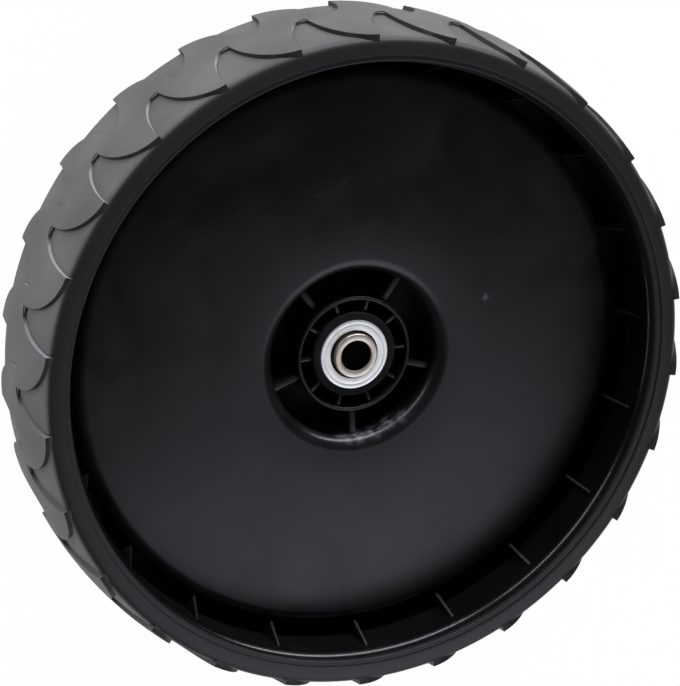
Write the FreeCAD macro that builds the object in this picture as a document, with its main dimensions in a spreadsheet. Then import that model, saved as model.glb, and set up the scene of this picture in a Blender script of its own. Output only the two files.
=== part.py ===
import FreeCAD, Part
import math
import os
import re
import Sketcher

Vector = FreeCAD.Vector
doc = FreeCAD.newDocument("MowerWheel")

# The wheel lies on its side: its axle is the Z axis, its outer face looks up,
# and the origin is on the axle, halfway through the tread.
# Lengths are in millimetres and angles in degrees.
sizes = {
    # tyre
    "tyre_width": 56.0,
    "tyre_thickness": 9.6,
    "crown_land": 14.0,
    "crown_drop": 2.2,
    "tread_depth": 1.5,
    "shoulder_step": 2.3,
    "shoulder_drop": 2.4,
    "ledge_width": 2.4,
    "ledge_drop": 0.85,
    "bead_reach": 3.2,
    "bead_thickness": 3.4,
    "scale_count": 26,
    "scale_tip_gap": 1.2,
    "scale_front_share": 0.614,
    "centre_band": 2.4,
    "tread_phase": -1.6,
    # rim, slot and disc of the wheel moulding
    "seat_radius": 123.6,
    "rim_wall": 5.1,
    "rim_lip_round": 2.8,
    "wall": 3.2,
    "slot_floor_height": -8.0,
    "slot_width": 6.0,
    "disc_edge_height": 6.0,
    "disc_edge_round": 10.0,
    "disc_hub_height": 13.0,
    "disc_mid_radius": 76.0,
    "disc_mid_height": 10.6,
    "slot_rib_count": 20,
    "slot_rib_width": 1.4,
    "slot_rib_top": 18.0,
    "slot_rib_foot": 4.0,
    # hub of the wheel moulding
    "recess_lip_round": 2.6,
    "recess_floor_height": -6.0,
    "ring_wall": 1.6,
    "ring_height": 10.7,
    "hub_wall": 2.8,
    "hub_front_height": 10.8,
    "hub_back_height": -18.0,
    "hub_chamfer": 0.5,
    "bearing_shoulder": 2.2,
    "wide_rib_count": 5,
    "wide_rib_length": 12.3,
    "wide_rib_width": 2.6,
    "wide_rib_top": 8.0,
    "wide_rib_phase": 18.0,
    "thin_rib_count": 10,
    "thin_rib_length": 3.7,
    "thin_rib_width": 1.4,
    "thin_rib_top": 9.5,
    "back_rib_count": 10,
    "back_rib_width": 2.2,
    "back_rib_hub_height": -13.0,
    "back_rib_rim_height": -9.0,
    # bearings
    "axle_radius": 6.0,
    "bearing_radius": 14.0,
    "bearing_width": 8.0,
    "inner_ring_stub": 2.2,
    "inner_ring_chamfer": 0.5,
    "outer_ring_wall": 1.8,
    "track_depth": 0.68,
    "ball_count": 8,
    "ball_play": 0.42,
    "cage_wall": 1.6,
    "cage_rim": 0.45,
    "cage_gap": 0.15,
    "shield_gap": 1.2,
    "shield_thickness": 0.4,
    "shield_inset": 0.2,
    "spacer_wall": 2.2,
}
sheet = doc.addObject("Spreadsheet::Sheet", "Size")
for row, (alias, value) in enumerate(sizes.items(), start=1):
    sheet.set(f"A{row}", alias)
    sheet.set(f"B{row}", str(value))
    sheet.setAlias(f"B{row}", alias)
doc.recompute()


# Radii that follow from those sizes: outwards and inwards from the seat of the tyre on the rim,
# and outwards from the bearing to the hub, the ring and the recess
derived = {
    "crown_radius": "seat_radius + tyre_thickness",
    "side_outer_radius": "crown_radius - crown_drop - tread_depth - shoulder_step",
    "bead_radius": "seat_radius - bead_reach",
    "side_inner_radius": "bead_radius + ledge_width",
    "rim_inner_radius": "seat_radius - rim_wall",
    "slot_inner_radius": "rim_inner_radius - slot_width",
    "bearing_shoulder_radius": "bearing_radius - bearing_shoulder",
    "hub_radius": "bearing_radius + hub_wall",
    "ring_outer_radius": "hub_radius + thin_rib_length + ring_wall",
    "recess_radius": "ring_outer_radius + wide_rib_length",
    "outer_ring_radius": "bearing_radius - outer_ring_wall",
    "cage_half_height": "bearing_width / 2 - shield_inset - shield_thickness - cage_gap",
    "ball_radius": "cage_half_height - cage_rim - ball_play",
    "pitch_radius": "outer_ring_radius - ball_radius + track_depth",
    "inner_ring_radius": "pitch_radius - ball_radius + track_depth",
    "shield_radius": "inner_ring_radius + shield_gap",
}


# A size name as the document's expressions write it
def bound_name(word):
    name = word.group(0)
    return f"({bound(derived[name])})" if name in derived else f"Size.{name}"


# A formula of size names, written the same way
def bound(formula):
    return re.sub(r"[a-z_]{4,}", bound_name, formula)


# The value of such a formula now
def now(formula):
    return float(sheet.evalExpression(bound(formula)))


def new_body(label):
    body = doc.addObject("PartDesign::Body", label)
    body.Label = label
    return body


# The body's own origin plane or axis of that role
def origin_item(body, role):
    return [item for item in body.Origin.OriginFeatures if item.Role == role][0]


# A sketch on the body's XZ plane: x is the radius and y the height along the axle
def new_sketch(body, name, plane="XZ_Plane"):
    sketch = body.newObject("Sketcher::SketchObject", name)
    sketch.AttachmentSupport = [(origin_item(body, plane), "")]
    sketch.MapMode = "FlatFace"
    return sketch


# A closed outline of straight runs in a sketch: each corner is a pair of formulas
def outline(sketch, corners):
    points = [Vector(now(across), now(along), 0) for across, along in corners]
    for index, start in enumerate(points):
        sketch.addGeometry(Part.LineSegment(start, points[(index + 1) % len(points)]))
    for index in range(len(points)):
        after = (index + 1) % len(points)
        sketch.addConstraint(Sketcher.Constraint("Coincident", index, 2, after, 1))
    for index, corner in enumerate(corners):
        for kind, formula in zip(("DistanceX", "DistanceY"), corner):
            number = sketch.addConstraint(Sketcher.Constraint(kind, -1, 1, index, 1, now(formula)))
            sketch.setExpression(f"Constraints[{number}]", bound(formula))


# The corners of a rounded edge, drawn as three short runs about the given centre
def bend(centre_radius, centre_height, radius, start, end):
    step = (end - start) / 3
    return [(f"{centre_radius} + {radius} * cos({start + step * index} deg)",
             f"{centre_height} + {radius} * sin({start + step * index} deg)") for index in range(4)]


# A full turn of a sketch round the axle
def turned(body, sketch):
    feature = body.newObject("PartDesign::Revolution", f"{sketch.Name}_turn")
    feature.Profile = sketch
    feature.ReferenceAxis = (sketch, ["V_Axis"])
    feature.Angle = 360
    doc.recompute()


# A feature repeated evenly round the axle
def repeated(body, feature, count):
    pattern = body.newObject("PartDesign::PolarPattern", f"{feature.Name}_pattern")
    pattern.Originals = [feature]
    pattern.Axis = (origin_item(body, "Z_Axis"), [""])
    pattern.Angle = 360
    pattern.setExpression("Occurrences", bound(count))
    body.Tip = pattern
    doc.recompute()


# Radial ribs: one outline, padded to both sides and repeated round the axle
def ribs(body, name, corners, width, count, phase=None):
    sketch = new_sketch(body, f"{name}_outline")
    outline(sketch, corners)
    if phase:
        sketch.setExpression("AttachmentOffset.Rotation.Angle", bound(phase))
        sketch.AttachmentOffset = FreeCAD.Placement(Vector(), FreeCAD.Rotation(Vector(0, 1, 0), now(phase)))
    pad = body.newObject("PartDesign::Pad", f"{name}_pad")
    pad.Profile = sketch
    pad.SideType = "Symmetric"
    pad.setExpression("Length", bound(width))
    doc.recompute()
    repeated(body, pad, count)


def make_wheel():
    body = new_body("wheel")
    rim = "tyre_width / 2 - bead_thickness"
    sketch = new_sketch(body, "wheel_section")
    outline(sketch, [
        ("seat_radius", rim),
        ("seat_radius", f"-({rim})"),
        ("rim_inner_radius + rim_lip_round / 2", f"-({rim})"),
        ("rim_inner_radius", f"-({rim}) + rim_lip_round / 2"),
        ("rim_inner_radius", "slot_floor_height - wall"),
        ("slot_inner_radius - wall", "slot_floor_height - wall"),
        ("slot_inner_radius - wall", "disc_edge_height - disc_edge_round"),
        ("slot_inner_radius - disc_edge_round", "disc_edge_height - wall"),
        ("disc_mid_radius", "disc_mid_height - wall"),
        ("recess_radius + wall", "disc_hub_height - wall"),
        ("recess_radius + wall", "recess_floor_height - wall"),
        ("hub_radius", "recess_floor_height - wall"),
        ("hub_radius", "hub_back_height"),
        ("bearing_radius", "hub_back_height"),
        ("bearing_radius", "hub_back_height + bearing_width"),
        ("bearing_shoulder_radius", "hub_back_height + bearing_width"),
        ("bearing_shoulder_radius", "hub_front_height - bearing_width"),
        ("bearing_radius", "hub_front_height - bearing_width"),
        ("bearing_radius", "hub_front_height"),
        ("hub_radius - hub_chamfer", "hub_front_height"),
        ("hub_radius", "hub_front_height - hub_chamfer"),
        ("hub_radius", "recess_floor_height"),
        ("ring_outer_radius - ring_wall", "recess_floor_height"),
        ("ring_outer_radius - ring_wall", "ring_height"),
        ("ring_outer_radius", "ring_height"),
        ("ring_outer_radius", "recess_floor_height"),
        ("recess_radius", "recess_floor_height"),
        *bend("recess_radius + recess_lip_round", "disc_hub_height - recess_lip_round",
              "recess_lip_round", 180, 90),
        ("disc_mid_radius", "disc_mid_height"),
        *bend("slot_inner_radius - disc_edge_round", "disc_edge_height - disc_edge_round",
              "disc_edge_round", 90, 0),
        ("slot_inner_radius", "slot_floor_height"),
        ("rim_inner_radius", "slot_floor_height"),
        *bend("rim_inner_radius + rim_lip_round", f"{rim} - rim_lip_round",
              "rim_lip_round", 180, 90),
    ])
    turned(body, sketch)
    # ribs across the slot, sloping from the rim down to the edge of the disc
    slope = "(slot_rib_top - slot_rib_foot) / (rim_inner_radius - slot_inner_radius)"
    ribs(body, "slot_rib", [
        ("rim_inner_radius + wall / 2", "slot_floor_height - wall / 2"),
        ("rim_inner_radius + wall / 2", "slot_rib_top"),
        ("rim_inner_radius", "slot_rib_top"),
        ("slot_inner_radius - wall / 2", f"slot_rib_foot - wall / 2 * {slope}"),
        ("slot_inner_radius - wall / 2", "slot_floor_height - wall / 2"),
    ], "slot_rib_width", "slot_rib_count")
    # ribs between the wall of the recess and the ring
    ribs(body, "wide_rib", [
        ("ring_outer_radius - ring_wall / 2", "recess_floor_height - wall / 2"),
        ("recess_radius + wall / 2", "recess_floor_height - wall / 2"),
        ("recess_radius + wall / 2", "wide_rib_top"),
        ("ring_outer_radius - ring_wall / 2", "wide_rib_top"),
    ], "wide_rib_width", "wide_rib_count", "wide_rib_phase")
    # ribs between the ring and the boss round the bearing
    ribs(body, "thin_rib", [
        ("(hub_radius + bearing_radius) / 2", "recess_floor_height - wall / 2"),
        ("ring_outer_radius - ring_wall / 2", "recess_floor_height - wall / 2"),
        ("ring_outer_radius - ring_wall / 2", "thin_rib_top"),
        ("(hub_radius + bearing_radius) / 2", "thin_rib_top"),
    ], "thin_rib_width", "thin_rib_count")
    # ribs behind the disc, from the hub to the wall of the slot
    ribs(body, "back_rib", [
        ("(hub_radius + bearing_radius) / 2", "back_rib_hub_height"),
        ("slot_inner_radius - wall / 2", "back_rib_rim_height"),
        ("slot_inner_radius - wall / 2", "disc_edge_height - disc_edge_round"),
        ("slot_inner_radius - disc_edge_round", "disc_edge_height - wall / 2"),
        ("recess_radius + wall / 2", "disc_hub_height - wall"),
        ("recess_radius + wall / 2", "recess_floor_height - wall / 2"),
        ("(hub_radius + bearing_radius) / 2", "recess_floor_height - wall / 2"),
    ], "back_rib_width", "back_rib_count", "wide_rib_phase")
    return body


# Half of a section and its other half, mirrored in the middle of the tread
def both_sides(corners):
    return corners + [(radius, f"-({height})") for radius, height in corners[::-1]]


# The tyre without its scales: beads that hook over the rim, side faces and the tread's floor
def make_carcass():
    body = new_body("tyre_carcass")
    sketch = new_sketch(body, "tyre_section")
    half = "tyre_width / 2"
    outline(sketch, both_sides([
        ("seat_radius", f"{half} - bead_thickness"),
        ("bead_radius", f"{half} - bead_thickness"),
        ("bead_radius", f"{half} - ledge_drop"),
        ("side_inner_radius", f"{half} - ledge_drop"),
        ("side_inner_radius", half),
        ("side_outer_radius", half),
        ("crown_radius - crown_drop - tread_depth", f"{half} - shoulder_drop"),
        ("crown_radius - tread_depth", "crown_land / 2"),
    ]))
    turned(body, sketch)
    return body


# The ring that the scales are cut from, up to the crown of the tread
def make_crown():
    body = new_body("tread_crown")
    sketch = new_sketch(body, "crown_section")
    tip = "tyre_width / 2 - scale_tip_gap"
    outline(sketch, both_sides([
        ("(seat_radius + side_outer_radius) / 2", tip),
        ("crown_radius - crown_drop", tip),
        ("crown_radius", "crown_land / 2"),
    ]))
    turned(body, sketch)
    return body


# One scale on the X axis: its tip is at the shoulder, its front edge is a quarter of an ellipse
# that meets the centre band behind the next scale, and its back edge is another
def scale_prism():
    pitch = math.radians(360 / now("scale_count"))
    tip = now("tyre_width / 2 - scale_tip_gap")
    foot = now("centre_band / 4")
    radius = now("crown_radius")
    front = radius * math.sin(pitch * now("scale_front_share"))
    back = radius * math.sin(pitch * (1 - now("scale_front_share")))
    base = now("seat_radius")
    top = Vector(base, 0, tip)
    front_foot = Vector(base, front, foot)
    back_foot = Vector(base, -back, foot)
    front_curve = Part.Ellipse(top, front_foot, Vector(base, 0, foot))
    back_curve = Part.Ellipse(back_foot, top, Vector(base, -back, tip))
    wire = Part.Wire([
        Part.ArcOfEllipse(front_curve, 0, math.pi / 2).toShape(),
        Part.LineSegment(front_foot, back_foot).toShape(),
        Part.ArcOfEllipse(back_curve, 0, math.pi / 2).toShape(),
    ])
    return Part.Face(wire).extrude(Vector(2 * (radius - base), 0, 0))


# The tyre: two rows of scales and the centre band on the carcass.
# The back row is the front row turned over about the X axis.
def make_tyre():
    carcass = make_carcass()
    crown = make_crown()
    half_band = now("centre_band / 2")
    box_side = 4 * now("crown_radius")
    slab = Part.makeBox(box_side, box_side, 2 * half_band, Vector(-box_side / 2, -box_side / 2, -half_band))
    band = crown.Shape.common(slab)
    scale = crown.Shape.common(scale_prism())
    turned_over = scale.copy()
    turned_over.rotate(Vector(), Vector(1, 0, 0), 180)
    count = int(now("scale_count"))
    # neighbours overlap at their feet, so every other scale is joined at a time
    groups = [[], []]
    for index in range(count):
        for row in (scale, turned_over):
            piece = row.copy()
            piece.rotate(Vector(), Vector(0, 0, 1), now("tread_phase") + index * 360 / count)
            groups[index % 2].append(piece)
    scales = [Part.makeCompound(group) for group in groups]
    tyre = doc.addObject("Part::Feature", "tyre")
    tyre.Label = "tyre"
    tyre.Shape = carcass.Shape.fuse(scales).fuse(band)
    return tyre


def turned_piece(label, corners):
    body = new_body(label)
    sketch = new_sketch(body, f"{label}_section")
    outline(sketch, corners)
    turned(body, sketch)
    return body


# The cage: a band folded from flats, with a square window for each ball
def make_cage(label):
    body = new_body(label)
    room = "(ball_radius + ball_play)"
    for kind, radius in (("Additive", "pitch_radius + cage_wall / 2"),
                         ("Subtractive", "pitch_radius - cage_wall / 2")):
        prism = body.newObject(f"PartDesign::{kind}Prism", f"{label}_{kind}")
        prism.setExpression("Polygon", bound("2 * ball_count"))
        prism.setExpression("Circumradius", bound(radius))
        prism.setExpression("Height", bound("2 * cage_half_height"))
        prism.Placement = FreeCAD.Placement(
            Vector(0, 0, -now("cage_half_height")),
            FreeCAD.Rotation(Vector(0, 0, 1), 90 / now("ball_count")))
        doc.recompute()
    ring_volume = body.Shape.Volume
    sketch = new_sketch(body, f"{label}_window", "YZ_Plane")
    outline(sketch, [(f"-{room}", f"-{room}"), (room, f"-{room}"), (room, room), (f"-{room}", room)])
    window = body.newObject("PartDesign::Pocket", f"{label}_pocket")
    window.Profile = sketch
    window.Reversed = True
    window.setExpression("Length", bound("pitch_radius + cage_wall"))
    doc.recompute()
    assert body.Shape.Volume < ring_volume
    repeated(body, window, "ball_count")
    return body


# A ball with few faces: three octagonal prisms that cross
def make_ball_blank(label):
    prisms = []
    for axis in (Vector(1, 0, 0), Vector(0, 1, 0), Vector(0, 0, 1)):
        prism = doc.addObject("Part::Prism", f"{label}_prism")
        prism.Polygon = 8
        prism.setExpression("Circumradius", bound("ball_radius / cos(180 deg / 8)"))
        prism.setExpression("Height", bound("2 * ball_radius"))
        flat_up = FreeCAD.Rotation(Vector(0, 0, 1), 180 / 8)
        prism.Placement = FreeCAD.Placement(
            axis * -now("ball_radius"), FreeCAD.Rotation(Vector(0, 0, 1), axis).multiply(flat_up))
        prisms.append(prism)
    blank = doc.addObject("Part::MultiCommon", f"{label}_blank")
    blank.Shapes = prisms
    doc.recompute()
    return blank


# One bearing at the given middle height; side is 1 with its long end up and -1 with it down.
# The tracks are shallow vees, and the shield sits in a land at the long end.
def make_bearing(place, middle, side):
    half = "bearing_width / 2"
    land = f"{half} - shield_inset - 2 * shield_thickness"
    shield_face = f"{half} - shield_inset"
    shield_back = f"{half} - shield_inset - shield_thickness"
    pieces = [make_cage(f"bearing_{place}_cage")]
    pieces.append(turned_piece(f"bearing_{place}_outer_ring", [
        ("bearing_radius", f"-({half})"),
        ("bearing_radius", half),
        ("outer_ring_radius", half),
        ("outer_ring_radius", land),
        ("pitch_radius + ball_radius + ball_play", "0"),
        ("outer_ring_radius", f"-({half})"),
    ]))
    pieces.append(turned_piece(f"bearing_{place}_inner_ring", [
        ("axle_radius", f"-({half})"),
        ("inner_ring_radius", f"-({half})"),
        ("pitch_radius - ball_radius - ball_play", "0"),
        ("inner_ring_radius", land),
        ("inner_ring_radius", f"{half} + inner_ring_stub - inner_ring_chamfer"),
        ("inner_ring_radius - inner_ring_chamfer", f"{half} + inner_ring_stub"),
        ("axle_radius + inner_ring_chamfer", f"{half} + inner_ring_stub"),
        ("axle_radius", f"{half} + inner_ring_stub - inner_ring_chamfer"),
    ]))
    pieces.append(turned_piece(f"bearing_{place}_shield", [
        ("shield_radius", shield_back),
        ("outer_ring_radius", shield_back),
        ("outer_ring_radius", shield_face),
        ("shield_radius", shield_face),
    ]))
    blank = make_ball_blank(f"bearing_{place}_ball")
    count = int(now("ball_count"))
    for index in range(count):
        ball = doc.addObject("Part::Feature", f"bearing_{place}_ball_{index + 1}")
        ball.Shape = blank.Shape
        spot = FreeCAD.Placement(Vector(now("pitch_radius"), 0, 0), FreeCAD.Rotation())
        turn = FreeCAD.Placement(Vector(), FreeCAD.Rotation(Vector(0, 0, 1), 360 / count * index))
        ball.Placement = turn.multiply(spot)
        pieces.append(ball)
    flip = FreeCAD.Rotation(Vector(1, 0, 0), 0 if side > 0 else 180)
    seat = FreeCAD.Placement(Vector(0, 0, now(middle)), flip)
    for piece in pieces:
        piece.Placement = seat.multiply(piece.Placement)
    return pieces


def make_spacer():
    low = "hub_back_height + bearing_width"
    high = "hub_front_height - bearing_width"
    return turned_piece("bearing_spacer", [
        ("axle_radius", low),
        ("axle_radius + spacer_wall", low),
        ("axle_radius + spacer_wall", high),
        ("axle_radius", high),
    ])


pieces = [make_wheel(), make_tyre(), make_spacer()]
pieces += make_bearing("front", "hub_front_height - bearing_width / 2", 1)
pieces += make_bearing("rear", "hub_back_height + bearing_width / 2", -1)
doc.recompute()

for item in doc.Objects:
    if "Invalid" in item.State or "Error" in item.State:
        raise RuntimeError(f"{item.Label} failed: {item.State}")
os.makedirs("parts", exist_ok=True)
for piece in pieces:
    shape = piece.Shape
    if shape.isNull() or not shape.isValid():
        raise RuntimeError(f"{piece.Label} has no valid shape")
    shape.exportStep(f"parts/{piece.Label}.step")
    print(piece.Label, len(shape.Solids), round(shape.Volume, 1))
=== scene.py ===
import bpy
import math
from mathutils import Matrix, Vector


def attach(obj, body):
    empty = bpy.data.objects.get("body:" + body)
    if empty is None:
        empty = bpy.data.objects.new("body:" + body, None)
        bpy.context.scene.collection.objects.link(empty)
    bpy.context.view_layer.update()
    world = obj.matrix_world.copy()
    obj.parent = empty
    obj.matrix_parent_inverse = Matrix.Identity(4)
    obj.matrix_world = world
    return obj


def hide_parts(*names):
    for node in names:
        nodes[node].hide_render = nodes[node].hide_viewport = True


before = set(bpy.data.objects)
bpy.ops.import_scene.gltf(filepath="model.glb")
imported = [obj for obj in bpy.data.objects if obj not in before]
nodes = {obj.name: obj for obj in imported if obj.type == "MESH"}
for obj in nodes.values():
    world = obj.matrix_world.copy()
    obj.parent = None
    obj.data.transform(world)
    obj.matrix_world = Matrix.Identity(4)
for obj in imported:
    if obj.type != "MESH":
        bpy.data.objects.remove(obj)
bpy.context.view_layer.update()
mm = 0.001
mergeGap = 0.01 * mm
print("frame loaded:", len(nodes), "nodes")


# small helpers

def deselectAll():
    if bpy.context.object and bpy.context.object.mode != "OBJECT":
        bpy.ops.object.mode_set(mode="OBJECT")
    bpy.ops.object.select_all(action="DESELECT")


def hexColor(text):
    parts = [int(text[i:i + 2], 16) / 255 for i in (1, 3, 5)]
    return [c / 12.92 if c <= 0.04045 else ((c + 0.055) / 1.055) ** 2.4 for c in parts] + [1.0]


# rounds the corners of a closed section; each corner is (radius, height, rounding) in mm
def roundCorners(corners, runs):
    points = []
    count = len(corners)
    for i in range(count):
        here = Vector(corners[i][:2])
        before = Vector(corners[i - 1][:2]) - here
        after = Vector(corners[(i + 1) % count][:2]) - here
        rounding = corners[i][2]
        half = before.angle(after) / 2
        if rounding == 0 or abs(half - math.pi / 2) < 0.002:  # sharp, or no corner at all
            points.append(here)
            continue
        reach = rounding / math.tan(half)
        inwards = (before.normalized() + after.normalized()).normalized()
        centre = here + inwards * rounding / math.sin(half)
        start = here + before.normalized() * reach - centre
        turn = start.angle_signed(here + after.normalized() * reach - centre)
        for k in range(runs + 1):
            a = -turn * k / runs
            points.append(centre + Vector((start.x * math.cos(a) - start.y * math.sin(a),
                                           start.x * math.sin(a) + start.y * math.cos(a))))
    return points


# a section loop is drawn on the XZ plane and spun round the axle
def turnSection(name, corners, steps, runs=5):
    points = roundCorners(corners, runs)
    deselectAll()
    bpy.ops.mesh.primitive_circle_add(vertices=len(points), fill_type="NOTHING")
    piece = bpy.context.object
    piece.name = name
    for vertex, point in zip(piece.data.vertices, points):
        vertex.co = (point.x * mm, 0, point.y * mm)
    bpy.ops.object.mode_set(mode="EDIT")
    bpy.ops.mesh.select_all(action="SELECT")
    bpy.ops.mesh.spin(steps=steps, angle=2 * math.pi, center=(0, 0, 0), axis=(0, 0, 1))
    bpy.ops.mesh.select_all(action="SELECT")
    bpy.ops.mesh.remove_doubles(threshold=mergeGap)
    bpy.ops.mesh.normals_make_consistent(inside=False)
    bpy.ops.object.mode_set(mode="OBJECT")
    piece.matrix_world = Matrix.Identity(4)
    return piece


# a flat rib: its outline is drawn on the XZ plane, given its width, and its edges are softened
def makeRib(name, corners, width, softening):
    deselectAll()
    bpy.ops.mesh.primitive_circle_add(vertices=len(corners), fill_type="NGON")
    rib = bpy.context.object
    rib.name = name
    for vertex, corner in zip(rib.data.vertices, corners):
        vertex.co = (corner[0] * mm, -width / 2 * mm, corner[1] * mm)
    bpy.ops.object.mode_set(mode="EDIT")
    bpy.ops.mesh.select_all(action="SELECT")
    bpy.ops.mesh.extrude_region_move(TRANSFORM_OT_translate={"value": (0, width * mm, 0)})
    bpy.ops.mesh.select_all(action="SELECT")
    bpy.ops.mesh.normals_make_consistent(inside=False)
    bpy.ops.mesh.bevel(offset=softening * mm, segments=2, affect="EDGES")
    bpy.ops.object.mode_set(mode="OBJECT")
    rib.matrix_world = Matrix.Identity(4)
    return rib


# a copy with a mesh of its own, turned about an axis through the origin
def turnedCopy(piece, angle, axis):
    copy = piece.copy()
    copy.data = piece.data.copy()
    copy.data.transform(Matrix.Rotation(angle, 4, axis))
    bpy.context.collection.objects.link(copy)
    return copy


# evenly spaced copies round the axle take the place of the piece
def roundTheAxle(piece, count, phase=0.0):
    copies = [turnedCopy(piece, math.radians(phase + 360 / count * i), "Z") for i in range(count)]
    bpy.data.objects.remove(piece)
    return copies


def joinPieces(main, others):
    deselectAll()
    for piece in others + [main]:
        piece.select_set(True)
    bpy.context.view_layer.objects.active = main
    bpy.ops.object.join()


def smoothByAngle(piece, degrees):
    deselectAll()
    piece.select_set(True)
    bpy.context.view_layer.objects.active = piece
    bpy.ops.object.shade_smooth_by_angle(angle=math.radians(degrees))


# materials

# settings hold a socket's name or number and its value, or a property of the node
def addNode(tree, kind, settings=None, links=None):
    node = tree.nodes.new(kind)
    for key, value in (settings or {}).items():
        if isinstance(key, int) or key in node.inputs:
            node.inputs[key].default_value = value
        else:
            setattr(node, key, value)
    for key, source in (links or {}).items():
        tree.links.new(source, node.inputs[key])
    return node


def newMaterial(name):
    material = bpy.data.materials.new(name)
    material.use_nodes = True
    tree = material.node_tree
    place = addNode(tree, "ShaderNodeTexCoord").outputs["Object"]
    return material, tree, tree.nodes["Principled BSDF"], place


# the place without its height, and its distance from the axle
def fromAxle(tree, place):
    flat = addNode(tree, "ShaderNodeVectorMath", {"operation": "MULTIPLY", 1: (1, 1, 0)}, {0: place})
    radius = addNode(tree, "ShaderNodeVectorMath", {"operation": "LENGTH"}, {0: flat.outputs["Vector"]})
    return flat.outputs["Vector"], radius.outputs["Value"]


# links what varies over the surface to the shader
def dressShader(tree, shader, color, rough, bump):
    tree.links.new(color, shader.inputs["Base Color"])
    tree.links.new(rough, shader.inputs["Roughness"])
    tree.links.new(bump.outputs["Normal"], shader.inputs["Normal"])


# soft black tyre rubber, moulded: dark smooth sides, and a matt tread whose lighter grey is partly from use and
# partly painted light, with a fine grain, a bloom in broad patches, a painted highlight on the walls of the
# scales, and painted shade in the slits and on faces along the axle
rubberLook = {
    "side": "#1b1b1d", "tread": "#4b4b4c", "bloom": "#5c5c5b", "paintedWallHighlight": "#94949c", "slit": "#1c1c1d",
    "bloomSize": 30, "bloomShare": (0.35, 0.7),  # sizes and depths in mm
    "grainSize": 0.8, "grainDepth": 0.1, "grainStrength": 0.3,  # coarser than the real grain, so that it shows
    "sideRoughness": 0.46, "treadRoughness": 0.62, "gloss": 0.34, "glossTint": "#f4f4ff",
    "treadEdge": (128.6, 130.0),  # radius in mm over which the side turns to tread
    "highlightSide": (-105.0, -45.0),  # y in mm over which the painted highlight on the walls comes in
    # share of the normal that points round or along the axle, from no effect to full
    "highlightLean": (0.3, 0.75), "slitLean": (-0.3, -0.75), "endLean": (0.55, 0.85),
}


def tyreRubber():
    look = rubberLook
    material, tree, shader, place = newMaterial("softTyreRubber")
    flat, radius = fromAxle(tree, place)
    onTread = addNode(tree, "ShaderNodeMapRange",
                      {"interpolation_type": "SMOOTHSTEP", "From Min": look["treadEdge"][0] * mm,
                       "From Max": look["treadEdge"][1] * mm}, {"Value": radius}).outputs["Result"]
    bloom = addNode(tree, "ShaderNodeTexNoise", {"Scale": 1000 / look["bloomSize"], "Detail": 5.0},
                    {"Vector": place}).outputs["Fac"]
    patches = addNode(tree, "ShaderNodeMapRange",
                      {"From Min": look["bloomShare"][0], "From Max": look["bloomShare"][1]},
                      {"Value": bloom}).outputs["Result"]
    # the tread's grey is lighter than the side rubber: partly wear, partly painted light
    treadColor = addNode(tree, "ShaderNodeMix",
                         {"data_type": "RGBA", 6: hexColor(look["tread"]), 7: hexColor(look["bloom"])},
                         {0: patches}).outputs[2]
    color = addNode(tree, "ShaderNodeMix", {"data_type": "RGBA", 6: hexColor(look["side"])},
                    {0: onTread, 7: treadColor}).outputs[2]
    # which way a wall faces: round the axle, or along it
    facing = addNode(tree, "ShaderNodeTexCoord").outputs["Normal"]
    around = addNode(tree, "ShaderNodeVectorMath", {"operation": "CROSS_PRODUCT", 1: (0, 0, 1)}, {0: flat})
    course = addNode(tree, "ShaderNodeVectorMath", {"operation": "NORMALIZE"}, {0: around.outputs["Vector"]})
    lean = addNode(tree, "ShaderNodeVectorMath", {"operation": "DOT_PRODUCT"},
                   {0: course.outputs["Vector"], 1: facing}).outputs["Value"]
    axial = addNode(tree, "ShaderNodeSeparateXYZ", None, {"Vector": facing}).outputs["Z"]
    steep = addNode(tree, "ShaderNodeMath", {"operation": "ABSOLUTE"}, {0: axial}).outputs[0]
    sideways = addNode(tree, "ShaderNodeSeparateXYZ", None, {"Vector": place}).outputs["Y"]
    masks = {}
    for name, source, unit in (("highlightLean", lean, 1), ("slitLean", lean, 1), ("endLean", steep, 1),
                               ("highlightSide", sideways, mm)):
        start, end = look[name]
        masks[name] = addNode(tree, "ShaderNodeMapRange", {"From Min": start * unit, "From Max": end * unit},
                              {"Value": source}).outputs["Result"]
    # painted highlight: pale walls that face clockwise seen from the front, only where y is above about -45 mm
    paintedHighlight = addNode(tree, "ShaderNodeMath", {"operation": "MULTIPLY"},
                   {0: masks["highlightLean"], 1: masks["highlightSide"]}).outputs[0]
    # painted shade: walls facing anticlockwise, and faces pointing along the axle such as the ends of the scales,
    # turn the slit colour
    paintedSlitShade = addNode(tree, "ShaderNodeMath", {"operation": "MAXIMUM"},
                   {0: masks["slitLean"], 1: masks["endLean"]}).outputs[0]
    for share, name in ((paintedHighlight, "paintedWallHighlight"), (paintedSlitShade, "slit")):
        color = addNode(tree, "ShaderNodeMix", {"data_type": "RGBA", 7: hexColor(look[name])},
                        {0: share, 6: color}).outputs[2]
    rough = addNode(tree, "ShaderNodeMapRange",
                    {"To Min": look["sideRoughness"], "To Max": look["treadRoughness"]},
                    {"Value": onTread}).outputs["Result"]
    grain = addNode(tree, "ShaderNodeTexNoise", {"Scale": 1000 / look["grainSize"], "Detail": 2.0},
                    {"Vector": place}).outputs["Fac"]
    bump = addNode(tree, "ShaderNodeBump",
                   {"Strength": look["grainStrength"], "Distance": look["grainDepth"] * mm}, {"Height": grain})
    dressShader(tree, shader, color, rough, bump)
    shader.inputs["Specular IOR Level"].default_value = look["gloss"]
    shader.inputs["Specular Tint"].default_value = hexColor(look["glossTint"])
    return material
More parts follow.
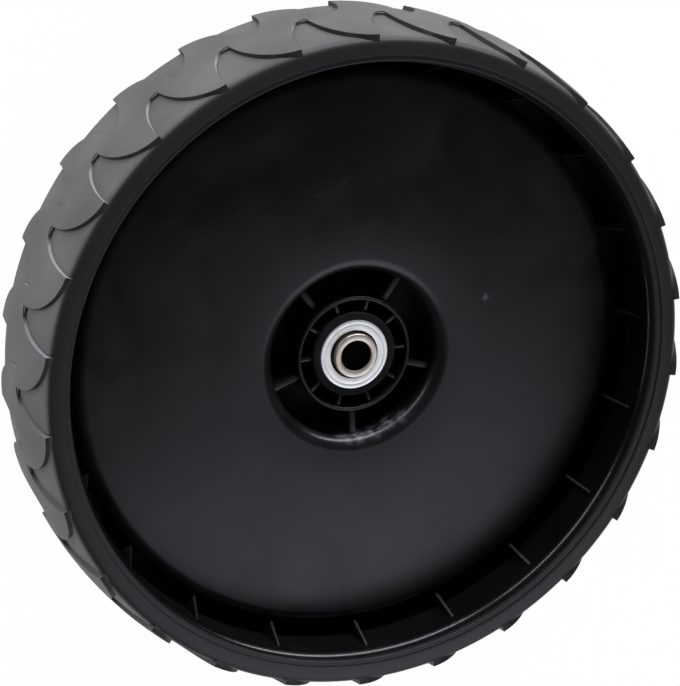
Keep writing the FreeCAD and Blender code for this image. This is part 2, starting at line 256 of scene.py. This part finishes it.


# black polypropylene, injection moulded: satin skin with faint flow patches and orange peel, matt floors
# and smoother lips, painted shade on the slot wall and the boss, pale rubbed spots from use and a few specks of
# dust
plasticLook = {
    "dark": "#0b0b0d", "pale": "#1b1b1e", "rubbed": "#928c9a", "shaded": "#050506",
    "flowSize": 30, "flowShare": (0.42, 0.78),  # sizes and depths in mm
    "peelSize": 2.2, "peelDepth": 0.1, "peelStrength": 0.05,
    "roughness": (0.24, 0.5), "gloss": 0.3, "glossTint": "#f4f4ff",
    "rubSize": 2.6, "rubShare": (0.38, 0.68),
    "speckSize": 2.4, "speckReach": (0.05, 0.02), "speckStrength": 0.35,
    # x, y, z and reach in mm, then strength
    "rubs": [(17.0, -30.0, 8.0, 6.0, 0.6), (21.5, -27.5, 8.0, 6.0, 0.8), (26.5, -23.0, 8.0, 5.5, 0.7),
             (30.5, -17.5, 7.0, 5.5, 0.8), (33.5, -12.0, 9.0, 4.5, 0.4), (-43.0, 54.0, 9.6, 9.0, 0.05),
             (-49.0, 44.0, 10.4, 9.0, 0.04), (34.6, 45.0, 11.6, 2.4, 0.5)],
    # zones of the moulding: what is measured, and where the zone begins and is full, in mm
    "zones": {"inside": ("radius", 36.0, 34.0), "low": ("height", 9.0, 2.0), "boss": ("radius", 17.8, 17.0),
              "slotFloor": ("height", 1.0, -4.0), "outside": ("radius", 116.0, 118.2),
              "under": ("height", 24.4, 23.0), "rimLip": ("height", 20.0, 22.5), "nearLip": ("radius", 41.0, 38.0),
              "offRing": ("radius", 32.0, 33.5), "above": ("height", 4.0, 7.0)},
    # zones made of two others: MULTIPLY is where both are, MAXIMUM where either is
    "joined": {"deep": ("MULTIPLY", "inside", "low"), "hollow": ("MAXIMUM", "deep", "boss"),
               "floors": ("MAXIMUM", "hollow", "slotFloor"), "slotWall": ("MULTIPLY", "outside", "under"),
               "shade": ("MAXIMUM", "slotWall", "boss"), "band": ("MULTIPLY", "nearLip", "offRing"),
               "hubLip": ("MULTIPLY", "band", "above")},
    "zoneRoughness": {"floors": 0.85, "hubLip": 0.3, "rimLip": 0.23},
}


def wheelPlastic():
    look = plasticLook
    material, tree, shader, place = newMaterial("mouldedPolypropylene")
    flow = addNode(tree, "ShaderNodeTexNoise",
                   {"Scale": 1000 / look["flowSize"], "Detail": 5.0, "Distortion": 0.6},
                   {"Vector": place}).outputs["Fac"]
    clouds = addNode(tree, "ShaderNodeMapRange",
                     {"From Min": look["flowShare"][0], "From Max": look["flowShare"][1]},
                     {"Value": flow}).outputs["Result"]
    color = addNode(tree, "ShaderNodeMix",
                    {"data_type": "RGBA", 6: hexColor(look["dark"]), 7: hexColor(look["pale"])},
                    {0: clouds}).outputs[2]
    # rubbed spots broken up by grit, and specks of dust
    grit = addNode(tree, "ShaderNodeTexNoise", {"Scale": 1000 / look["rubSize"], "Detail": 3.0},
                   {"Vector": place}).outputs["Fac"]
    streaks = addNode(tree, "ShaderNodeMapRange",
                      {"From Min": look["rubShare"][0], "From Max": look["rubShare"][1]},
                      {"Value": grit}).outputs["Result"]
    dust = addNode(tree, "ShaderNodeTexVoronoi", {"Scale": 1000 / look["speckSize"], "Randomness": 1.0},
                   {"Vector": place}).outputs["Distance"]
    rubbed = addNode(tree, "ShaderNodeMapRange",
                     {"From Min": look["speckReach"][0], "From Max": look["speckReach"][1],
                      "To Max": look["speckStrength"]}, {"Value": dust}).outputs["Result"]
    for x, y, z, reach, strength in look["rubs"]:
        away = addNode(tree, "ShaderNodeVectorMath", {"operation": "DISTANCE", 1: (x * mm, y * mm, z * mm)},
                       {0: place}).outputs["Value"]
        spot = addNode(tree, "ShaderNodeMapRange",
                       {"interpolation_type": "SMOOTHSTEP", "From Min": reach * mm, "From Max": 0.0,
                        "To Max": strength}, {"Value": away}).outputs["Result"]
        worn = addNode(tree, "ShaderNodeMath", {"operation": "MULTIPLY"}, {0: spot, 1: streaks}).outputs[0]
        rubbed = addNode(tree, "ShaderNodeMath", {"operation": "MAXIMUM"}, {0: rubbed, 1: worn}).outputs[0]
    # zones by distance from the axle and by height
    measures = {"radius": fromAxle(tree, place)[1],
                "height": addNode(tree, "ShaderNodeSeparateXYZ", None, {"Vector": place}).outputs["Z"]}
    zones = {}
    for name, (measure, start, end) in look["zones"].items():
        zones[name] = addNode(tree, "ShaderNodeMapRange", {"From Min": start * mm, "From Max": end * mm},
                              {"Value": measures[measure]}).outputs["Result"]
    for name, (how, one, other) in look["joined"].items():
        zones[name] = addNode(tree, "ShaderNodeMath", {"operation": how},
                              {0: zones[one], 1: zones[other]}).outputs[0]
    # the shaded colour is painted shade over the slot wall and the bearing boss
    for share, name in ((rubbed, "rubbed"), (zones["shade"], "shaded")):
        color = addNode(tree, "ShaderNodeMix", {"data_type": "RGBA", 7: hexColor(look[name])},
                        {0: share, 6: color}).outputs[2]
    rough = addNode(tree, "ShaderNodeMapRange", {"To Min": look["roughness"][0], "To Max": look["roughness"][1]},
                    {"Value": flow}).outputs["Result"]
    for name, value in look["zoneRoughness"].items():
        rough = addNode(tree, "ShaderNodeMix", {"data_type": "FLOAT", 3: value},
                        {0: zones[name], 2: rough}).outputs[0]
    peel = addNode(tree, "ShaderNodeTexNoise", {"Scale": 1000 / look["peelSize"], "Detail": 1.0},
                   {"Vector": place}).outputs["Fac"]
    bump = addNode(tree, "ShaderNodeBump", {"Strength": look["peelStrength"], "Distance": look["peelDepth"] * mm},
                   {"Height": peel})
    dressShader(tree, shader, color, rough, bump)
    shader.inputs["Specular IOR Level"].default_value = look["gloss"]
    shader.inputs["Specular Tint"].default_value = hexColor(look["glossTint"])
    return material


# metals of the bearings: zinc plated cup, ground steel ring, plain steel inside
metalLooks = {
    "zincPlatedSteel": {"color": "#e6e7ea", "stain": "#d6d8dc", "roughness": (0.38, 0.5), "ringGap": 5.655},
    "groundRingSteel": {"color": "#c2bab3", "stain": "#a39c96", "roughness": (0.3, 0.42), "ringGap": 4.398},
    "plainSteel": {"color": "#8f9092", "stain": "#6f6f70", "roughness": (0.36, 0.48), "ringGap": 7.540},
}
# what all three share, in mm; the bore's edge is a radius
turnedLook = {"stainSize": 5.5556, "stainShare": (0.45, 0.8), "ringStrength": 0.03, "ringDepth": 0.05,
              "bore": "#0a0a0b", "boreEdge": (6.25, 6.05), "boreRoughness": 1.0}


# turned metal: soft stains in the colour, a bore darkened by painted shade, and shallow rings round the axle in
# the bump, which are broad because real turning marks are too fine to show
def turnedMetal(name):
    look = {**turnedLook, **metalLooks[name]}
    material, tree, shader, place = newMaterial(name)
    stain = addNode(tree, "ShaderNodeTexNoise", {"Scale": 1000 / look["stainSize"], "Detail": 4.0},
                    {"Vector": place}).outputs["Fac"]
    spread = addNode(tree, "ShaderNodeMapRange",
                     {"From Min": look["stainShare"][0], "From Max": look["stainShare"][1]},
                     {"Value": stain}).outputs["Result"]
    color = addNode(tree, "ShaderNodeMix",
                    {"data_type": "RGBA", 6: hexColor(look["color"]), 7: hexColor(look["stain"])},
                    {0: spread}).outputs[2]
    inBore = addNode(tree, "ShaderNodeMapRange",
                     {"From Min": look["boreEdge"][0] * mm, "From Max": look["boreEdge"][1] * mm},
                     {"Value": fromAxle(tree, place)[1]}).outputs["Result"]
    # painted shade: the bore turns near black
    finish = addNode(tree, "ShaderNodeMix", {"data_type": "RGBA", 7: hexColor(look["bore"])},
                     {0: inBore, 6: color}).outputs[2]
    satin = addNode(tree, "ShaderNodeMapRange", {"To Min": look["roughness"][0], "To Max": look["roughness"][1]},
                    {"Value": stain}).outputs["Result"]
    rough = addNode(tree, "ShaderNodeMix", {"data_type": "FLOAT", 3: look["boreRoughness"]},
                    {0: inBore, 2: satin}).outputs[0]
    waveScale = 2 * math.pi * 1000 / look["ringGap"] / 20  # the texture itself runs 20 radians to a unit
    rings = addNode(tree, "ShaderNodeTexWave",
                    {"wave_type": "RINGS", "rings_direction": "Z", "Scale": waveScale, "Distortion": 0.4},
                    {"Vector": place}).outputs["Fac"]
    bump = addNode(tree, "ShaderNodeBump",
                   {"Strength": look["ringStrength"], "Distance": look["ringDepth"] * mm}, {"Height": rings})
    dressShader(tree, shader, finish, rough, bump)
    shader.inputs["Metallic"].default_value = 1.0
    return material


rubber = tyreRubber()
plastic = wheelPlastic()
metals = {name: turnedMetal(name) for name in metalLooks}
print("materials made")


# finishes a piece: its material, its body and the CAD node that it stands for
def finishPiece(piece, material, body, cadNode):
    piece.data.materials.clear()
    piece.data.materials.append(material)
    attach(piece, body)
    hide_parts(cadNode)


# wheel moulding: one turned shell with its ribs

wheelShape = {
    "section": [
        (123.6, 24.6, 0.3), (123.6, -24.6, 0.3), (118.5, -24.6, 1.4), (118.5, -11.2, 1.0),
        (109.3, -11.2, 1.0), (109.3, 1.6, 6.0), (76.0, 7.4, 600.0), (37.6, 9.8, 1.2),
        (37.6, -9.2, 1.0), (16.8, -9.2, 0.8), (16.8, -18.0, 0.5), (14.0, -18.0, 0.3),
        (14.0, -10.0, 0.0), (11.8, -10.0, 0.0), (11.8, 2.8, 0.0), (14.0, 2.8, 0.0),
        (14.0, 10.8, 0.25), (16.8, 10.8, 0.5), (16.8, -6.0, 0.5), (21.7, -6.0, 0.5),
        (21.7, 10.7, 0.6), (23.2, 10.7, 0.6), (23.2, -6.0, 0.8), (33.6, -6.0, 1.6),
        (33.6, 13.1, 5.0), (76.0, 10.6, 500.0), (112.5, 5.5, 6.0), (112.5, -8.0, 1.3),
        (118.5, -8.0, 1.3), (118.5, 24.6, 4.2),
    ],
    "steps": 256, "smoothAngle": 40,
    "ribs": {
        "slotRib": {"corners": [(110.5, -8.6), (119.2, -8.6), (119.2, 19.6), (110.5, -0.8)],
                    "width": 1.4, "softening": 0.35, "count": 20, "phase": 0.0},
        "wideRib": {"corners": [(22.4, -6.6), (34.6, -6.6), (34.6, 7.6), (22.4, 7.2)],
                    "width": 2.6, "softening": 0.45, "count": 5, "phase": 18.0},
        "thinRib": {"corners": [(16.2, -6.6), (22.4, -6.6), (22.4, 9.5), (16.2, 9.0)],
                    "width": 1.4, "softening": 0.3, "count": 10, "phase": 0.0},
        "backRib": {"corners": [(15.8, -13.0), (110.2, -9.0), (110.2, -4.0), (102.5, 4.2), (76.0, 9.0),
                                (36.0, 11.2), (36.0, -7.6), (15.8, -7.6)],
                    "width": 2.2, "softening": 0.35, "count": 10, "phase": 18.0},
    },
}


def makeWheel():
    wheel = turnSection("wheelMoulding", wheelShape["section"], wheelShape["steps"])
    ribs = []
    for kind, rib in wheelShape["ribs"].items():
        first = makeRib(kind, rib["corners"], rib["width"], rib["softening"])
        ribs += roundTheAxle(first, rib["count"], rib["phase"])
    joinPieces(wheel, ribs)
    smoothByAngle(wheel, wheelShape["smoothAngle"])
    finishPiece(wheel, plastic, "wheel", "wheel")
    print("wheel moulding made")


makeWheel()


# tyre: turned carcass with two rows of scales; angles in degrees

tyreShape = {
    "halfSection": [
        (123.6, 24.6, 0.2), (120.4, 24.6, 0.3), (120.4, 27.3, 0.6), (122.8, 26.9, 0.2),
        (122.8, 28.0, 0.3), (129.5, 26.7, 3.4), (131.7, 7.0, 80.0), (131.7, 1.6, 0.4),
        (132.9, 1.1, 0.4),
    ],
    "steps": 260, "smoothAngle": 45,
    "crown": 133.2, "crownDrop": 2.2, "tip": 26.8,
    "count": 26, "frontShare": 0.614, "phase": -1.6,
    "wallDepth": 3.2, "edgeRounding": 0.55, "across": 8, "along": 18,
}


# radius of the tops of the scales at a height
def crownAt(height):
    return tyreShape["crown"] - tyreShape["crownDrop"] * (height / tyreShape["tip"]) ** 2


# one scale is shaped flat from a grid, given its wall and soft edges, then laid on the crown
def makeScale():
    t = tyreShape
    pitch = 2 * math.pi / t["count"]
    front, back = pitch * t["frontShare"], pitch * (1 - t["frontShare"])
    deselectAll()
    bpy.ops.mesh.primitive_grid_add(x_subdivisions=t["across"], y_subdivisions=t["along"], size=2)
    scale = bpy.context.object
    scale.name = "treadScale"
    for vertex in scale.data.vertices:
        share = (vertex.co.x + 1) / 2
        rise = (1 - math.cos((vertex.co.y + 1) / 2 * math.pi)) / 2
        first = -back * (1 - math.sqrt(max(0, 1 - (1 - rise) ** 2)))
        last = front * math.sqrt(max(0, 1 - rise ** 2))
        angle = first + (last - first) * share
        vertex.co = (angle * t["crown"] * mm, t["tip"] * rise * mm, 0)
    bpy.ops.object.mode_set(mode="EDIT")
    bpy.ops.mesh.select_all(action="SELECT")
    bpy.ops.mesh.remove_doubles(threshold=2 * mergeGap)
    bpy.ops.mesh.select_all(action="SELECT")
    bpy.ops.mesh.extrude_region_move(TRANSFORM_OT_translate={"value": (0, 0, t["wallDepth"] * mm)})
    bpy.ops.mesh.select_all(action="SELECT")
    bpy.ops.mesh.normals_make_consistent(inside=False)
    bpy.ops.mesh.select_all(action="DESELECT")
    bpy.ops.object.mode_set(mode="OBJECT")
    # the rim of the top is softened, apart from the foot, where the two rows meet
    top = t["wallDepth"] * mm
    tiny = 0.001 * mm
    facesAt = {}
    for face in scale.data.polygons:
        onTop = all(scale.data.vertices[v].co.z > top - tiny for v in face.vertices)
        for key in face.edge_keys:
            facesAt.setdefault(key, []).append(onTop)
    for edge in scale.data.edges:
        atFoot = all(scale.data.vertices[v].co.y < tiny for v in edge.vertices)
        edge.select = sorted(facesAt[edge.key]) == [False, True] and not atFoot
    bpy.ops.object.mode_set(mode="EDIT")
    bpy.ops.mesh.select_mode(type="EDGE")
    bpy.ops.mesh.bevel(offset=t["edgeRounding"] * mm, segments=3, affect="EDGES", clamp_overlap=True)
    bpy.ops.object.mode_set(mode="OBJECT")
    for vertex in scale.data.vertices:
        height = vertex.co.y / mm
        radius = crownAt(height) + (vertex.co.z - top) / mm
        angle = vertex.co.x / mm / t["crown"] + math.radians(t["phase"])
        vertex.co = (radius * math.cos(angle) * mm, radius * math.sin(angle) * mm, height * mm)
    scale.matrix_world = Matrix.Identity(4)
    return scale


def makeTyre():
    t = tyreShape
    half = t["halfSection"]
    carcass = turnSection("tyreRing", half + [(r, -z, s) for r, z, s in half[::-1]], t["steps"])
    frontRow = roundTheAxle(makeScale(), t["count"])
    tip = Vector((math.cos(math.radians(t["phase"])), math.sin(math.radians(t["phase"])), 0))
    backRow = [turnedCopy(piece, math.pi, tip) for piece in frontRow]
    joinPieces(carcass, frontRow + backRow)
    smoothByAngle(carcass, t["smoothAngle"])
    finishPiece(carcass, rubber, "wheel", "tyre")
    print("tyre made")


makeTyre()


# bearings: cup, shield and inner ring turned again with soft edges

bearingShape = {
    "middle": {"front": 6.8, "rear": -14.0},
    "cup": [(14.0, -4.0, 0.4), (14.0, 4.0, 0.5), (12.2, 4.0, 0.1), (12.2, 3.0, 0.0), (13.3, 0.0, 0.0),
            (12.2, -4.0, 0.25)],
    "shield": [(9.6, 3.4, 0.1), (12.3, 3.4, 0.0), (12.3, 3.92, 0.04), (9.6, 3.92, 0.25)],
    "ring": [(6.0, -4.0, 0.3), (8.8, -4.0, 0.3), (7.7, 0.0, 0.0), (8.8, 3.0, 0.0), (8.8, 6.2, 0.5),
             (6.0, 6.2, 0.6)],
    "steps": 96, "cornerRuns": 4, "smoothAngle": 35,
}


def makeBearing(place):
    b = bearingShape
    side = 1 if place == "front" else -1
    looks = (("cup", "zincPlatedSteel", "wheel", "zinc_steel", f"bearing_{place}_outer_ring"),
             ("shield", "zincPlatedSteel", "wheel", "zinc_steel", f"bearing_{place}_shield"),
             ("ring", "groundRingSteel", "axle_sleeve", "ring_steel", f"bearing_{place}_inner_ring"))
    for kind, metal, body, slot, cadNode in looks:
        corners = [(r, z * side + b["middle"][place], s) for r, z, s in b[kind]]
        name = f"{place}Bearing{kind.capitalize()}"
        piece = turnSection(name, corners[::side], b["steps"], b["cornerRuns"])
        smoothByAngle(piece, b["smoothAngle"])
        finishPiece(piece, metals[metal], body, cadNode)
    print(place, "bearing made")


makeBearing("front")
makeBearing("rear")


# pieces inside keep their CAD shape and get a finish

for name, node in nodes.items():
    if "ball" in name or "cage" in name or "spacer" in name:
        node.data.materials.clear()
        node.data.materials.append(metals["plainSteel"])
print("inside pieces finished")


# floor, light and camera; the floor's size in metres, its height in mm

studio = {"floorSize": 12, "floorHeight": -28.0, "floorColor": "#f4f4f4", "glow": 0.985,
          "worldColor": "#ffffff", "worldStrength": 0.1}


# white paper: white to the eye and in reflections, with a trace of the shadow
def makeFloor():
    deselectAll()
    bpy.ops.mesh.primitive_plane_add(size=studio["floorSize"], location=(0, 0, 0))
    floor = bpy.context.object
    floor.name = "studioFloor"
    floor.data.transform(Matrix.Translation((0, 0, studio["floorHeight"] * mm)))
    floor.matrix_world = Matrix.Identity(4)
    material = bpy.data.materials.new("whitePaper")
    material.use_nodes = True
    tree = material.node_tree
    tree.nodes.clear()
    path = addNode(tree, "ShaderNodeLightPath").outputs
    seen = addNode(tree, "ShaderNodeMath", {"operation": "MAXIMUM"},
                   {0: path["Is Camera Ray"], 1: path["Is Glossy Ray"]}).outputs[0]
    clear = addNode(tree, "ShaderNodeMath", {"operation": "MAXIMUM"},
                    {0: seen, 1: path["Is Transmission Ray"]}).outputs[0]
    share = addNode(tree, "ShaderNodeMath", {"operation": "MULTIPLY", 1: studio["glow"]}, {0: clear}).outputs[0]
    paper = addNode(tree, "ShaderNodeBsdfDiffuse", {"Color": hexColor(studio["floorColor"])}).outputs[0]
    glow = addNode(tree, "ShaderNodeEmission", {"Color": (1, 1, 1, 1), "Strength": 1.0}).outputs[0]
    mixed = addNode(tree, "ShaderNodeMixShader", None, {0: share, 1: paper, 2: glow}).outputs[0]
    addNode(tree, "ShaderNodeOutputMaterial", None, {"Surface": mixed})
    floor.data.materials.append(material)


# places and sizes in metres, power in watts
lamps = {
    "keySoftbox": {"place": (-1.72, 0.35, 0.04), "size": (1.2, 0.1), "power": 6, "color": "#ffffff"},
    "rimStrip": {"place": (-1.66, 0.4, 0.27), "size": (1.6, 0.14), "power": 13, "color": "#ffffff"},
    "topStrip": {"place": (-0.35, 1.66, 0.33), "size": (2.1, 0.13), "power": 41, "color": "#ffffff"},
    "lowSoftbox": {"place": (-1.1, -1.42, 0.04), "size": (1.0, 0.1), "power": 8.5, "color": "#ffffff"},
    "frontPanel": {"place": (1.5, -0.95, 1.55), "size": (1.8, 1.8), "power": 25, "color": "#fafaff"},
}


# each lamp faces the middle of the wheel
def makeLamps():
    for name, look in lamps.items():
        deselectAll()
        bpy.ops.object.light_add(type="AREA", location=look["place"])
        lamp = bpy.context.object
        lamp.name = name
        lamp.data.shape = "RECTANGLE"
        lamp.data.size, lamp.data.size_y = look["size"]
        lamp.data.energy = look["power"]
        lamp.data.color = hexColor(look["color"])[:3]
        lamp.rotation_euler = (-Vector(look["place"])).to_track_quat("-Z", "Y").to_euler()
    world = bpy.data.worlds.new("studioWorld")
    world.use_nodes = True
    background = world.node_tree.nodes["Background"]
    background.inputs["Color"].default_value = hexColor(studio["worldColor"])
    background.inputs["Strength"].default_value = studio["worldStrength"]
    bpy.context.scene.world = world


# the camera looks at the front of the wheel from the upper left, a little rolled
view = {"place": (-0.8374, 0.1191, 1.5852), "right": (0.7658, 0.5304, 0.3637), "up": (-0.4441, 0.8451, -0.2974),
        "back": (-0.4651, 0.0662, 0.8828), "lens": 243.3, "sensor": 36}


def makeCamera():
    camera = bpy.data.objects.new("photoCamera", bpy.data.cameras.new("photoCamera"))
    bpy.context.collection.objects.link(camera)
    camera.data.sensor_fit = "VERTICAL"
    camera.data.sensor_height = view["sensor"]
    camera.data.lens = view["lens"]
    columns = [Vector(view[key]).normalized() for key in ("right", "up", "back")]
    matrix = Matrix(columns).transposed().to_4x4()
    matrix.translation = view["place"]
    camera.matrix_world = matrix
    bpy.context.scene.camera = camera


makeFloor()
makeLamps()
makeCamera()
bpy.context.scene.view_settings.view_transform = "Standard"
print("studio made")
